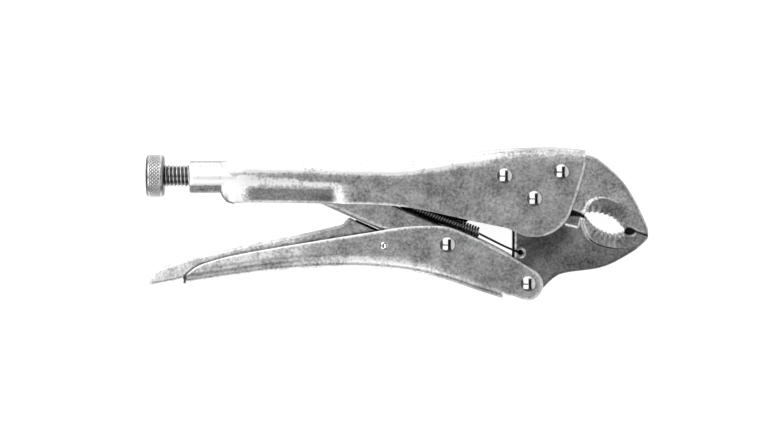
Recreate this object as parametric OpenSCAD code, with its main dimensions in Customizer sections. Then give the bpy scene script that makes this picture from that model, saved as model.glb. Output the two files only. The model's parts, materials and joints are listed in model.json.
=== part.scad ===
// Locking pliers with curved, toothed jaws, lying flat on one side.
// The jaws point along +X, the upper handle is on the +Y side, and +Z is the
// thickness. The origin is under the middle of the tool, on the surface it lies on.
// The upper handle holds the fixed jaw and the adjusting screw. The moving jaw, the
// lower handle and the toggle link fold between it and the tip of the screw.

/* [Handles] */
// Outer width across the folded handles
handle_w = 16.6; // [15:0.1:18]
// Thickness of the folded handle sheet
handle_sheet = 2; // [1.6:0.1:2.2]
// Bevel along the bent edges of the handles
handle_bevel = 1.8; // [0.8:0.1:2]
// Radius of the rolled tube at the rear of the upper handle
tube_r = 8; // [7.6:0.1:8.2]

/* [Jaws] */
// Side clearance between a jaw and each wall of the handles
jaw_side_gap = 0.1; // [0.05:0.05:0.3]
// How far the toothed pads stand out from the sides of the jaws
pad_rise = 1; // [0.4:0.1:1.2]
// Radius of the round head that the moving jaw turns on
head_r = 9.5; // [8.5:0.1:10]
// Gap round that head, in the fixed jaw
head_gap = 0.8; // [0.4:0.1:1]
// Depth of the teeth in the throat
tooth_depth = 0.8; // [0.4:0.1:1]

/* [Link and lever] */
// Side clearance between the link or the lever and each wall of the lower handle
inner_side_gap = 0.3; // [0.2:0.05:0.5]
// Thickness of the folded sheet of the link and the lever
inner_sheet = 1.6; // [1.2:0.1:2]
// Half of the height of the toggle link
link_half_h = 6.8; // [6:0.1:7]
// Radius of the end of the link that bears on the screw
link_end_r = 4; // [3:0.1:4.5]
// Play between the link and the tip of the screw
link_play = 2.6; // [2.5:0.1:3.5]

/* [Adjusting screw] */
// Radius over the thread
thread_r = 5.6; // [5.2:0.05:5.6]
// Depth of the thread
thread_depth = 0.7; // [0.4:0.05:0.9]
// Pitch of the thread
thread_pitch = 1.9; // [1.5:0.1:2.2]
// Radius of the knob, which also sets how high the tool lies
knob_r = 10.6; // [10.4:0.1:10.6]
// Length of the knob
knob_l = 9; // [7:0.5:9]
// Radius of the spigot that carries the knob
spigot_r = 4; // [3:0.1:4.5]

/* [Rivets] */
// Radius of the shank of the five large rivets
rivet_r = 2.8; // [2.2:0.1:3]
// Radius of the domed heads
dome_r = 4; // [3.6:0.1:4.4]
// Height of the domed heads
dome_h = 2.2; // [1.6:0.1:2.2]
// Radius of the flat heads on the far side
flat_r = 4.2; // [3.8:0.1:4.6]
// Radius of the shank of the pin that carries the release lever
pin_r = 1.5; // [1.2:0.1:1.8]
// Radius of the heads of that pin
pin_head_r = 2; // [2:0.1:2.6]
// Running clearance of a bore that turns on its rivet
run_gap = 0.05; // [0.02:0.01:0.1]

/* [Return spring] */
// Outer radius of the coil
coil_r = 2.9; // [2.4:0.1:3]
// Diameter of the wire
wire_d = 1; // [0.8:0.1:1.1]
// Length of the coil
coil_l = 36; // [30:1:38]

/* [Hidden] */
$fn = 48;

// Heights: the middle plane, and half widths measured from it
mid_z = knob_r;
handle_half = handle_w / 2;
jaw_half = handle_half - handle_sheet - jaw_side_gap;
inner_half = handle_half - handle_sheet - inner_side_gap;
past = 200; // far enough to cut right through

// Overall length, and the pivots in the locked position
tool_l = 251;
front_x = tool_l / 2;
back_x = -front_x;
jaw_pivot = [68.5, 13.1];
rear_jaw_hole = [53.6, 24.5];
front_jaw_hole = [82, 26.5];
handle_pivot = [65.5, -29.6];
link_pivot = [25.2, -10];
lever_pivot = [-6.6, -10.5];
link_end = [-49.6, 22.6];
spring_hole = [61.6, -14.3];
spring_hole_r = 1.9;
spring_anchor = [-5, 15.3];

// The adjusting screw
screw_y = 24;
screw_tip_x = link_end.x - link_end_r - link_play;
shoulder_x = back_x + knob_l;
tube_back_x = -103.9;
tube_front_x = -80;
tube_y = 23.4;

// A smooth curve through the points p, with n steps between two of them
function smooth(p, n) = [
  for (i = [0 : len(p) - 2], k = [0 : n - 1])
    let (
      a = p[max(i - 1, 0)],
      b = p[i],
      c = p[i + 1],
      d = p[min(i + 2, len(p) - 1)],
      t = k / n
    )
      b + (c - a) * t / 2 + (2 * a - 5 * b + 4 * c - d) * t * t / 2
        + (3 * b - a - 3 * c + d) * t * t * t / 2,
  p[len(p) - 1]
];

// Points on an arc about c, from angle a to angle b, in n steps
function arc(c, r, a, b, n) = [
  for (k = [0 : n])
    let (t = a + (b - a) * k / n)
      c + r * [cos(t), sin(t)]
];

// The same points, moved by d
function moved(p, d) = [for (q = p) q + d];

// A toothed edge: every second point of a curve stands out by d on its left
function toothed(p, d) = [
  for (i = [0 : len(p) - 1])
    let (
      run = p[min(i + 1, len(p) - 1)] - p[max(i - 1, 0)],
      side = [-run.y, run.x] / norm(run)
    )
      p[i] + (i % 2 == 1 ? d : 0) * side
];

// A plate with the outline p, centred on the middle plane
module plate(p, half) {
  translate([0, 0, mid_z - half])
    linear_extrude(2 * half)
      polygon(p);
}

// A round hole or a shank through the whole tool, at the point p
module through(p, r) {
  translate([p.x, p.y, -past / 2])
    cylinder(r = r, h = past);
}

// Cuts a bevel along both edges of a folded spine, which lies on the left of the line p
module spine_bevels(p, half, c) {
  spare = 0.1;
  for (i = [0 : len(p) - 2], side = [-1, 1]) {
    run = p[i + 1] - p[i];
    translate([p[i].x, p[i].y, mid_z + side * half])
      rotate([0, 0, atan2(run.y, run.x)])
        translate([-spare, 0, 0])
          rotate([90, 0, 90])
            linear_extrude(norm(run) + 2 * spare)
              polygon([[-c - 1, side], [1, side], [1, -side * (c + 1)]]);
  }
}

// ---- Upper handle ----

upper_spine = smooth([
  [-87, 30.9], [-73, 31.9], [-20, 30.6], [3, 30.7], [29, 34.6], [53, 37.3], [77, 38.1], [94, 36.8]
], 2);

upper_front = concat(
  [[94, 29]],
  arc(jaw_pivot, 19.4, -18, -100, 8)
);

upper_edge = smooth([[57, -2.1], [34, 2.6], [3, 8.9], [-27, 10.3], [-73, 11], [-82, 10.4]], 2);

upper_corner = [[-86, 12.4], [-88.5, 16.5], [-88.5, 30]];

// The tab inside the handle that the rear leg of the spring hooks into
module spring_tab() {
  difference() {
    translate([spring_anchor.x - 2, spring_anchor.y - 2, mid_z - 0.8])
      cube([4, 30.6 - spring_anchor.y, 1.6]);
    through(spring_anchor, 0.9);
  }
}

module upper_handle() {
  inside = moved(upper_spine, [0, -handle_sheet]);
  color("silver")
    difference() {
      union() {
        difference() {
          plate(concat(upper_spine, upper_front, upper_edge, upper_corner), handle_half);
          plate(concat([inside[0]], inside, [[past, inside[0].y], [past, -past], [inside[0].x, -past]]),
                handle_half - handle_sheet);
          spine_bevels(upper_spine, handle_half, handle_bevel);
        }
        translate([tube_back_x, tube_y, mid_z])
          rotate([0, 90, 0])
            cylinder(r = tube_r, h = tube_front_x - tube_back_x);
        spring_tab();
      }
      // The threaded way of the screw, through the tube
      translate([-past, screw_y, mid_z])
        rotate([0, 90, 0])
          cylinder(r = thread_r + run_gap, h = past + tube_front_x + 1);
      for (p = [rear_jaw_hole, front_jaw_hole, jaw_pivot])
        through(p, rivet_r);
    }
}

// ---- Jaws ----

throat_upper = smooth([[93.5, 5.4], [98.4, 5.9], [104.4, 4.5], [109.2, 1.9], [113.4, -2.9]], 4);
throat_lower = smooth([[94.8, 3.2], [98.6, -1], [103.7, -3.9], [108.5, -5.2], [113.4, -4]], 4);
nose_upper = [[118.9, -3.5], [123, -5], [front_x, -5.7]];
nose_lower = moved(nose_upper, [0, -0.15]);

fixed_jaw_back = smooth([
  [front_x, -3.4], [124.7, -0.6], [119.6, 10.6], [112, 22.3], [101.4, 31.8], [96.4, 34.1]
], 2);

upper_pad = [
  [92.4, -5], [93.2, 6.3], [95.1, 9.8], [97.6, 12.7], [103.7, 13.6], [108.5, 11.9], [114, 8.8],
  [past, 0], [past, -past]
];

module fixed_jaw() {
  head = arc(jaw_pivot, head_r + head_gap, -20, 170, 18);
  outline = concat(
    fixed_jaw_back,
    [[77, 35.2], [53, 34.6], [47, 33.2], [44.5, 29], [44.5, 20], [50, 16.2]],
    [for (i = [len(head) - 1 : -1 : 0]) head[i]],
    [[87, 7]],
    toothed(throat_upper, tooth_depth),
    nose_upper
  );
  color("gainsboro")
    difference() {
      union() {
        plate(outline, jaw_half);
        intersection() {
          plate(outline, jaw_half + pad_rise);
          plate(upper_pad, past);
        }
      }
      through(rear_jaw_hole, rivet_r);
      through(front_jaw_hole, rivet_r);
    }
}

lower_jaw_edge = smooth([
  [73, -32], [78.8, -26.6], [84.9, -24.2], [102.9, -21.4], [117.4, -14], [124.2, -8.3],
  [front_x, -6.4]
], 2);

lower_pad = [
  [92.4, 20], [92.6, 1], [94, -3], [96.6, -8], [101.4, -10.4], [107.4, -11.7], [114, -12.2],
  [past, -11], [past, 20]
];

module moving_jaw() {
  ear_r = 7.2;
  outline = concat(
    [[57.6, -16], [57.6, 4]],
    arc(jaw_pivot, head_r, 215, -25, 20),
    [[85, 4.6], [93, 4.5]],
    toothed(throat_lower, -tooth_depth),
    nose_lower,
    [for (i = [len(lower_jaw_edge) - 1 : -1 : 0]) lower_jaw_edge[i]],
    arc(handle_pivot, ear_r, -45, -180, 12)
  );
  color("silver")
    difference() {
      union() {
        plate(outline, jaw_half);
        intersection() {
          plate(outline, jaw_half + pad_rise);
          plate(lower_pad, past);
        }
      }
      through(jaw_pivot, rivet_r + run_gap);
      through(handle_pivot, rivet_r + run_gap);
      through(spring_hole, spring_hole_r);
    }
}

// ---- Lower handle ----

// The spine, from the front to the rear, so that its outside is on the left
lower_spine = smooth([
  [52.4, -37.1], [41.4, -33.6], [23.4, -27.6], [5.4, -23.7], [-18.6, -21.6], [-42.6, -22.1],
  [-66.6, -24.1], [-106, -29.8]
], 2);

lower_edge = smooth([
  [-106.8, -28.9], [-104.6, -24.4], [-97.4, -19.8], [-79.6, -15], [-48.1, -9.4], [-14, -3.9],
  [3, -1.2], [21.9, -0.6], [34, -4.3], [52.4, -13.2], [65.9, -21.6]
], 2);

module lower_handle() {
  ear = [64.8, -30];
  ear_r = 8.1;
  inside = moved(lower_spine, [0, handle_sheet]);
  color("silver")
    difference() {
      plate(concat(lower_edge, arc(ear, ear_r, 50, -110, 14), [[57.5, -35.9]], lower_spine),
            handle_half);
      plate(concat([[past, past], [past, -past], [inside[0].x, -past]], inside,
                   [[-past, inside[len(inside) - 1].y], [-past, past]]),
            handle_half - handle_sheet);
      spine_bevels(lower_spine, handle_half, handle_bevel);
      through(handle_pivot, rivet_r);
      through(link_pivot, rivet_r);
      through(lever_pivot, pin_r);
    }
}

// ---- Toggle link ----

// Drawn along +X from its pivot to the end that bears on the screw
link_run = link_end - link_pivot;
link_l = norm(link_run);

module toggle_link() {
  side = concat(
    arc([0, 0], link_half_h, -90, -270, 14),
    [[58, link_half_h]],
    arc([link_l, 0], link_end_r, 60, -60, 8),
    [[link_l - 6, -link_half_h + 1.4], [link_l - 10, -link_half_h]]
  );
  floor_back = 12;
  color("silver")
    translate([link_pivot.x, link_pivot.y, 0])
      rotate([0, 0, atan2(link_run.y, link_run.x)])
        mirror([0, 1, 0])
          difference() {
            plate(side, inner_half);
            // The open side, and the way in at the pivot
            plate([[-20, -link_half_h + inner_sheet], [-20, 20], [link_l - 9, 20],
                   [link_l - 9, -link_half_h + inner_sheet]],
                  inner_half - inner_sheet);
            plate([[-20, -20], [-20, 0], [floor_back, 0], [floor_back, -20]],
                  inner_half - inner_sheet);
            through([0, 0], rivet_r + run_gap);
          }
}

// ---- Release lever ----

lever_spine = smooth([
  [-30, -18.7], [-54.6, -20.1], [-78.6, -22.8], [-106, -27.3], [-123.6, -30.9]
], 2);

lever_edge = smooth([
  [-121.2, -26.2], [-118.8, -22.1], [-107.6, -18.9], [-79.6, -11.9], [-49.3, -5.9], [-27.6, -0.9]
], 3);

module lever_side(half) {
  plate(concat(
    lever_spine,
    lever_edge,
    [[-25.2, 1.9], [-23.6, 2.6], [-22.2, 1.7]],
    arc(lever_pivot, 5.4, 65, -90, 10),
    [[-22, -18]]
  ), half);
}

module release_lever() {
  inside = moved(lever_spine, [0, inner_sheet]);
  color("silver")
    difference() {
      lever_side(inner_half);
      plate(concat([[30, past], [30, -past], [inside[0].x, -past]], inside,
                   [[-past, inside[len(inside) - 1].y], [-past, past]]),
            inner_half - inner_sheet);
      through(lever_pivot, pin_r + run_gap);
    }
}

// ---- Adjusting screw and its knob ----

module adjusting_screw() {
  thread_back = shoulder_x + 2;
  turns = floor((screw_tip_x - 4 - thread_back) / thread_pitch);
  thread = [
    for (k = [0 : turns - 1], step = [0, 0.3, 0.5, 0.8])
      [thread_r - (step == 0 || step == 0.8 ? thread_depth : 0),
       thread_back + (k + step) * thread_pitch]
  ];
  color("gray")
    translate([0, screw_y, mid_z])
      rotate([0, 90, 0])
        rotate_extrude()
          polygon(concat(
            [[0, back_x + 0.4], [spigot_r, back_x + 0.4], [spigot_r, shoulder_x],
             [thread_r - thread_depth, shoulder_x]],
            thread,
            [[thread_r - thread_depth, screw_tip_x - 1.5], [thread_r - thread_depth - 1.5, screw_tip_x],
             [0, screw_tip_x]]
          ));
}

module screw_knob() {
  round_in = 1.2;
  color("dimgray")
    translate([0, screw_y, mid_z])
      rotate([0, 90, 0])
        rotate_extrude()
          polygon([
            [spigot_r + run_gap, back_x], [knob_r - round_in, back_x], [knob_r, back_x + round_in],
            [knob_r, shoulder_x - round_in], [knob_r - round_in, shoulder_x - 0.1],
            [spigot_r + run_gap, shoulder_x - 0.1]
          ]);
}

// ---- Rivets ----

// A rivet with a dome on the near side and a flat head on the side the tool lies on
module rivet(p) {
  ball_r = (dome_r * dome_r + dome_h * dome_h) / (2 * dome_h);
  top = mid_z + handle_half;
  under = mid_z - handle_half;
  color("white")
    translate([p.x, p.y, 0]) {
      cylinder(r = flat_r, h = under);
      cylinder(r = rivet_r, h = top + dome_h / 2);
      intersection() {
        translate([0, 0, top + dome_h - ball_r])
          sphere(r = ball_r);
        translate([0, 0, top])
          cylinder(r = dome_r, h = dome_h);
      }
    }
}

module lever_pin() {
  rise = 0.6;
  color("white")
    translate([lever_pivot.x, lever_pivot.y, mid_z]) {
      cylinder(r = pin_r, h = handle_w, center = true);
      for (side = [-1, 1])
        translate([0, 0, side * (handle_half + rise / 2)])
          cylinder(r = pin_head_r, h = rise, center = true);
    }
}

// ---- Return spring ----

// A straight leg of wire from a to b, both at the same height
module leg(a, b) {
  run = b - a;
  translate(a)
    rotate([0, 90, atan2(run.y, run.x)])
      cylinder(d = wire_d, h = norm(run));
}

// A bend of the wire, drawn as a short upright bar from the height low to the height high
module bend(p, low, high) {
  bend_d = wire_d + 0.1;
  translate([p.x, p.y, low])
    cylinder(d = bend_d, h = high - low);
}

module return_spring() {
  front = [40.9, -4.2, mid_z];
  slope = 23;
  rib = 1.8;
  ribs = floor(coil_l / rib);
  wall = 1.25 * wire_d;
  near = [0, 0, coil_r - wall / 2];
  back = front + ribs * rib * [-cos(slope), sin(slope), 0];
  start = front + 0.6 * [-cos(slope), sin(slope), 0];
  leg_z = mid_z + jaw_half + wire_d / 2 + 0.1;
  hook = [spring_hole.x - 1.1, spring_hole.y + 0.5, leg_z];
  anchor = [spring_anchor.x, spring_anchor.y, mid_z] + near;
  over = 0.6;
  color("dimgray") {
    translate(front)
      rotate([0, 90, 180 - slope])
        rotate_extrude()
          polygon(concat(
            [[coil_r - wall, 0]],
            [for (k = [0 : ribs - 1], step = [0, 0.25, 0.75])
              [coil_r - (step == 0 ? wire_d / 3 : 0), (k + step) * rib]],
            [[coil_r - wire_d / 3, ribs * rib], [coil_r - wall, ribs * rib]]
          ));
    bend(start, mid_z + coil_r - 0.6, leg_z + over);
    leg([start.x, start.y, leg_z], hook);
    bend(hook, leg_z - 6, leg_z + over);
    leg(back - 0.6 * [-cos(slope), sin(slope), 0] + near, anchor);
    bend(anchor, mid_z - 1.5, anchor.z + over);
  }
}

upper_handle();
fixed_jaw();
rivet(rear_jaw_hole);  // rear_jaw_rivet
rivet(front_jaw_hole);  // front_jaw_rivet
rivet(jaw_pivot);  // jaw_pivot_rivet
moving_jaw();
lower_handle();
rivet(handle_pivot);  // handle_pivot_rivet
rivet(link_pivot);  // link_rivet
lever_pin();
toggle_link();
release_lever();
adjusting_screw();
screw_knob();
return_spring();
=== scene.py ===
"""The look of the locking pliers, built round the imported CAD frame.

Outlines are in millimetres in the frame's own X and Y, and heights are measured from
the middle plane of the tool. Everything is turned into metres where a mesh is made.
"""

import json
import math

import bmesh
import bpy
import numpy as np
from mathutils import Matrix, Vector, geometry


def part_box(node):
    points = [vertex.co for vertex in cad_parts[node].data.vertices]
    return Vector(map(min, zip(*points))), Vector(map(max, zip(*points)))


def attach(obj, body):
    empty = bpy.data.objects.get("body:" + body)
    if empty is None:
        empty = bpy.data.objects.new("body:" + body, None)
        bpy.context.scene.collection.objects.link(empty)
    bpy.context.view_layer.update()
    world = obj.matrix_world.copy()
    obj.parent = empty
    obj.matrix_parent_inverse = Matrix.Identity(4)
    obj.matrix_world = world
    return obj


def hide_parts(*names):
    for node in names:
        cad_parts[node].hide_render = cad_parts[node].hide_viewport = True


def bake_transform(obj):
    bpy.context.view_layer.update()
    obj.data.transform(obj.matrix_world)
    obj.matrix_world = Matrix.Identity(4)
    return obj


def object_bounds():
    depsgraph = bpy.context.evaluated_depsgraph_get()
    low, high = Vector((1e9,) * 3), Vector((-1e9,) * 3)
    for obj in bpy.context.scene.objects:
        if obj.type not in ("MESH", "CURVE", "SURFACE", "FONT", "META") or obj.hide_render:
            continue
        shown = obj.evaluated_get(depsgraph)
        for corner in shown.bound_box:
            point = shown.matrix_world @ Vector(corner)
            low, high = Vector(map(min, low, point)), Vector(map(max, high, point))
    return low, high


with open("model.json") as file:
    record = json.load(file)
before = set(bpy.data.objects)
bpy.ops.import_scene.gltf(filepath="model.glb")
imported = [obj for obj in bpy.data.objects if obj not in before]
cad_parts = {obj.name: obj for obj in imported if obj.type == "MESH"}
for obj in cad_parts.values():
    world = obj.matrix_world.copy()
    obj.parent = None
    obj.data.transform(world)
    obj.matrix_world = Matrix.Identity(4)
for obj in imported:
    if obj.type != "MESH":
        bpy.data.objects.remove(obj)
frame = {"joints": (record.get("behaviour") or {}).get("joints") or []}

CAD_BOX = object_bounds()
MM = 0.001
JOINTS = {j["name"]: j for j in frame["joints"]}


def middle(node):
    """The centre of a CAD node's box, in millimetres."""
    low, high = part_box(node)
    return np.array((low + high) / 2) / MM


def pivot(joint):
    """The place of a hinge in X and Y, in millimetres."""
    return np.array(JOINTS[joint]["pos_m"][:2]) / MM


def half_size(node, axis):
    """Half the size of a CAD node's box along X, Y or Z, in millimetres."""
    low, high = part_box(node)
    return (high[axis] - low[axis]) / 2 / MM


X, Y, Z = 0, 1, 2
MID_Z = middle("screw_knob")[Z]
SCREW_Y = middle("screw_knob")[Y]
HANDLE_HALF = half_size("upper_handle", Z)
SHEET = 2.0
JAW_HALF = HANDLE_HALF - SHEET - 0.1
INNER_HALF = half_size("toggle_link", Z)
INNER_SHEET = 1.6
PAD_RISE = half_size("fixed_jaw", Z) - JAW_HALF
FRONT_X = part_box("fixed_jaw")[1].x / MM
BACK_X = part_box("screw_knob")[0].x / MM
JAW_PIVOT = pivot("jaw_open")
HANDLE_PIVOT = pivot("handle_swing")
LINK_PIVOT = pivot("link_fold")
LEVER_PIVOT = pivot("lever_press")


# ---- Curves in the plane ----

def smooth(points, steps):
    """A Catmull-Rom curve through the points, with some steps between two of them."""
    p = np.array(points, float)
    made = []
    for i in range(len(p) - 1):
        a, b = p[max(i - 1, 0)], p[i]
        c, d = p[i + 1], p[min(i + 2, len(p) - 1)]
        for k in range(steps):
            t = k / steps
            made.append(
                b + (c - a) * t / 2
                + (2 * a - 5 * b + 4 * c - d) * t**2 / 2
                + (3 * b - a - 3 * c + d) * t**3 / 2
            )
    return np.array(made + [p[-1]])


def arc(centre, r, a, b, steps):
    """Points on a circle from the angle a to the angle b, in degrees."""
    t = np.radians(np.linspace(a, b, steps + 1))
    return np.array(centre) + r * np.stack([np.cos(t), np.sin(t)], axis=1)


def lengths(p):
    """Distance along a line, at each of its points."""
    steps = np.linalg.norm(np.diff(p, axis=0), axis=1)
    return np.concatenate([[0], np.cumsum(steps)])


def at_length(p, s):
    """Points at the distances s along the line p."""
    along = lengths(p)
    return np.stack([np.interp(s, along, p[:, k]) for k in range(p.shape[1])], axis=1)


def evenly(p, step):
    """The line p as points at even distances, about a step apart."""
    total = lengths(p)[-1]
    return at_length(p, np.linspace(0, total, max(2, int(round(total / step)) + 1)))


def left_of(p):
    """Unit normals on the left of a line, at each of its points."""
    run = np.gradient(p, axis=0)
    run /= np.maximum(np.linalg.norm(run, axis=1, keepdims=True), 1e-9)
    return np.stack([-run[:, 1], run[:, 0]], axis=1)


def toothed(p, pitch, depth, side):
    """The curve p with round notches cut into it, on its left if side is 1."""
    q = evenly(p, 0.2)
    s = lengths(q)
    teeth = max(1, round(s[-1] / pitch))
    notch = np.abs(np.sin(math.pi * (s / s[-1]) * teeth)) * depth
    return q + side * left_of(q) * notch[:, None]


def distance_to(points, line, closed=True):
    """Distance from each point to a line of segments."""
    a = line
    b = np.roll(line, -1, axis=0)
    if not closed:
        a, b = line[:-1], line[1:]
    best = np.full(len(points), 1e9)
    for p0, p1 in zip(a, b):
        run = p1 - p0
        t = np.clip(((points - p0) @ run) / max(run @ run, 1e-12), 0, 1)
        gap = np.linalg.norm(points - p0 - t[:, None] * run, axis=1)
        best = np.minimum(best, gap)
    return best


def inside(points, outline):
    """True for each point inside a closed outline."""
    x, y = points[:, 0], points[:, 1]
    found = np.zeros(len(points), bool)
    for (x0, y0), (x1, y1) in zip(outline, np.roll(outline, -1, axis=0)):
        crosses = (y0 > y) != (y1 > y)
        rise = y1 - y0 if y1 != y0 else 1e-9
        found ^= crosses & (x < (x1 - x0) * (y - y0) / rise + x0)
    return found


def depth_in(points, outline):
    """Distance inside an outline, negative outside it."""
    gap = distance_to(points, outline)
    return np.where(inside(points, outline), gap, -gap)


def ease(x):
    """0 below 0, 1 above 1, and a smooth rise between them."""
    x = np.clip(x, 0, 1)
    return x * x * (3 - 2 * x)


def near_line(p, line, reach):
    """1 on an open line in the plane, falling to 0 at a distance from it."""
    return 1 - ease(distance_to(p[:, :2], line, closed=False) / reach)


def above(p, line):
    """How far each point is above a line that runs along X, measured along Y."""
    return p[:, 1] - np.interp(p[:, 0], line[:, 0], line[:, 1])


def spot(p, centre, size):
    """1 at a centre, falling to 0 with distance like a bell."""
    away = (p[:, :2] - np.array(centre)) / np.array(size)
    return np.exp(-np.sum(away**2, axis=1))


# ---- Meshes ----

def piece(name, points, faces, body, node, material, sharp=35, tone=None):
    """A mesh piece that stands for a CAD node, from points in millimetres.

    Heights are from the middle plane, and nothing reaches past the box of the CAD.
    material is one that metal() made. tone gives the painted light and shade, how light the surface
    is at each point."""
    slot, surface = material
    points = (np.array(points, float) + np.array([0, 0, MID_Z])) * MM
    points = np.clip(points, CAD_BOX[0], CAD_BOX[1])
    mesh = bpy.data.meshes.new(name)
    mesh.from_pydata([tuple(p) for p in points], [], [tuple(f) for f in faces])
    mesh.validate()
    mesh.update()
    made = bpy.data.objects.new(name, mesh)
    bpy.context.scene.collection.objects.link(made)
    tidy_mesh(made, sharp)
    where = np.array([v.co for v in mesh.vertices]) / MM - np.array([0, 0, MID_Z])
    shade = tone(where) if tone else np.ones(len(where))
    mesh.attributes.new("tone", "FLOAT", "POINT").data.foreach_set("value", shade)
    mesh.materials.append(surface)
    if body:
        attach(made, body)
    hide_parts(node)
    return made


def tidy_mesh(obj, sharp):
    """Faces point outwards and are smooth, apart from edges sharper than an angle."""
    bm = bmesh.new()
    bm.from_mesh(obj.data)
    bmesh.ops.remove_doubles(bm, verts=bm.verts, dist=1e-6)
    bmesh.ops.dissolve_degenerate(bm, edges=bm.edges, dist=1e-7)
    bmesh.ops.recalc_face_normals(bm, faces=bm.faces)
    limit = math.radians(sharp)
    for f in bm.faces:
        f.smooth = True
    for e in bm.edges:
        if len(e.link_faces) == 2:
            e.smooth = e.calc_face_angle(0) < limit
    bm.to_mesh(obj.data)
    bm.free()


def loft(rings, closed_ends=False, closed_rings=True):
    """Points and quads through rings of equally many points."""
    n = len(rings[0])
    points = np.concatenate(rings)
    faces = []
    for i in range(len(rings) - 1):
        for k in range(n if closed_rings else n - 1):
            k2 = (k + 1) % n
            faces.append((i * n + k, i * n + k2, (i + 1) * n + k2, (i + 1) * n + k))
    if closed_ends:
        last = (len(rings) - 1) * n
        faces.append(tuple(range(n)))
        faces.append(tuple(range(last + n - 1, last - 1, -1)))
    return points, faces


ON_AXIS = 1e-3


def lathe(profile, centre, axis, steps, carve=None):
    """A turned solid. The profile is (radius, height along the axis) from end to end.

    A profile starts and ends at the radius ON_AXIS. carve changes a ring's radii."""
    rings = []
    for r, h in profile:
        t = np.linspace(0, 2 * math.pi, steps, endpoint=False)
        radius = np.full(steps, r)
        if carve:
            radius = carve(t, h, radius)
        round_x, round_y = radius * np.cos(t), radius * np.sin(t)
        height = np.full(steps, h)
        ring = {"x": (height, round_x, round_y), "z": (round_x, round_y, height)}[axis]
        rings.append(np.stack(ring, axis=1) + np.array(centre))
    return loft(rings, closed_ends=True)


def tube(path, r, sides=10):
    """A round wire along a path in space."""
    p = np.array(path, float)
    run = np.gradient(p, axis=0)
    run /= np.linalg.norm(run, axis=1, keepdims=True)
    side = np.cross(run[0], [0.3, 0.2, 1.0])
    rings = []
    for q, t in zip(p, run):
        side = side - t * (side @ t)
        side /= np.linalg.norm(side)
        other = np.cross(t, side)
        a = np.linspace(0, 2 * math.pi, sides, endpoint=False)
        rings.append(q + r * (np.cos(a)[:, None] * side + np.sin(a)[:, None] * other))
    return loft(rings, closed_ends=True)


def pair_up(spine, edge, keys, count):
    """Matching points on a spine and on the free edge of a folded sheet.

    keys are pairs of points, one near the spine and one near the edge, that belong
    to the same rib, in order from the first end to the last."""
    spine_s, edge_s = lengths(spine), lengths(edge)
    near_spine = [spine_s[np.argmin(np.linalg.norm(spine - k[0], axis=1))] for k in keys]
    near_edge = [edge_s[np.argmin(np.linalg.norm(edge - k[1], axis=1))] for k in keys]
    weight = np.array(near_spine) + np.array(near_edge)
    t = np.linspace(weight[0], weight[-1], count)
    return (
        at_length(spine, np.interp(t, weight, near_spine)),
        at_length(edge, np.interp(t, weight, near_edge)),
    )


def folded_sheet(spine, edge, inward, half, sheet, bend, edge_r, shape=None):
    """A sheet folded round a spine into two walls that end at the edge.

    Each rib runs over the spine, round the bend and down the wall to the free edge,
    and back inside at the sheet's thickness. inward is 1 if the walls are on the left
    of the spine, and -1 if they are on its right. bend is the outer radius of the fold,
    and edge_r rounds the free edge. shape moves the points at the end."""
    n = left_of(spine) * inward
    m = left_of(edge)
    m *= np.sign(np.sum(m * (edge - spine)))
    for _ in range(3):
        m[1:-1] = (m[:-2] + m[1:-1] + m[2:]) / 3
    m /= np.linalg.norm(m, axis=1, keepdims=True)
    turns, wall_steps, corner_steps = 8, 9, 4
    near_edge = np.array([3.2, 2.0, 1.2, 0.6, 0.0])
    most_of_wall = [0.6, 0.4, 0.25, 0.1, 0]
    rings = []
    for s, e, ns, me in zip(spine, edge, n, m):
        outer = [(s, 0.0), (s, half - bend)]
        inner = [(s + ns * sheet, 0.0), (s + ns * sheet, half - bend)]
        for k in range(1, turns + 1):
            a = math.pi / 2 * k / turns
            deep = half - bend + bend * math.sin(a)
            outer.append((s + ns * bend * (1 - math.cos(a)), deep))
            r = bend - sheet
            inner.append((s + ns * (bend - r * math.cos(a)), half - bend + r * math.sin(a)))
        top = s + ns * bend
        last = e - me * edge_r
        close = np.minimum(near_edge / np.linalg.norm(last - top), most_of_wall)
        for k in (*np.linspace(0, 1 - close[0], wall_steps)[1:], *(1 - close[1:])):
            q = top + (last - top) * k
            outer.append((q, half))
            inner.append((q, half - sheet))
        for k in range(1, corner_steps + 1):
            a = math.pi / 2 * k / corner_steps
            q = last + me * edge_r * math.sin(a)
            drop = edge_r * (1 - math.cos(a))
            outer.append((q, half - drop))
            inner.append((q, half - sheet + drop))
        side = outer + inner[::-1]
        near = [np.array([q[0], q[1], z]) for q, z in side]
        far = [np.array([q[0], q[1], -z]) for q, z in side[1:-1]][::-1]
        rings.append(np.array(near + far))
    points, faces = loft(rings)
    count, final = len(rings[0]), len(side) - 1
    for base in (0, (len(rings) - 1) * count):
        for i in range(len(side) // 2 - 1):
            near_cap = (i, i + 1, final - i - 1, final - i)
            far_cap = ((count - i) % count, count - i - 1, final + i + 1, final + i)
            faces.append(tuple(base + k for k in near_cap))
            faces.append(tuple(base + k for k in far_cap))
    if shape:
        points = shape(points)
    return points, faces


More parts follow.
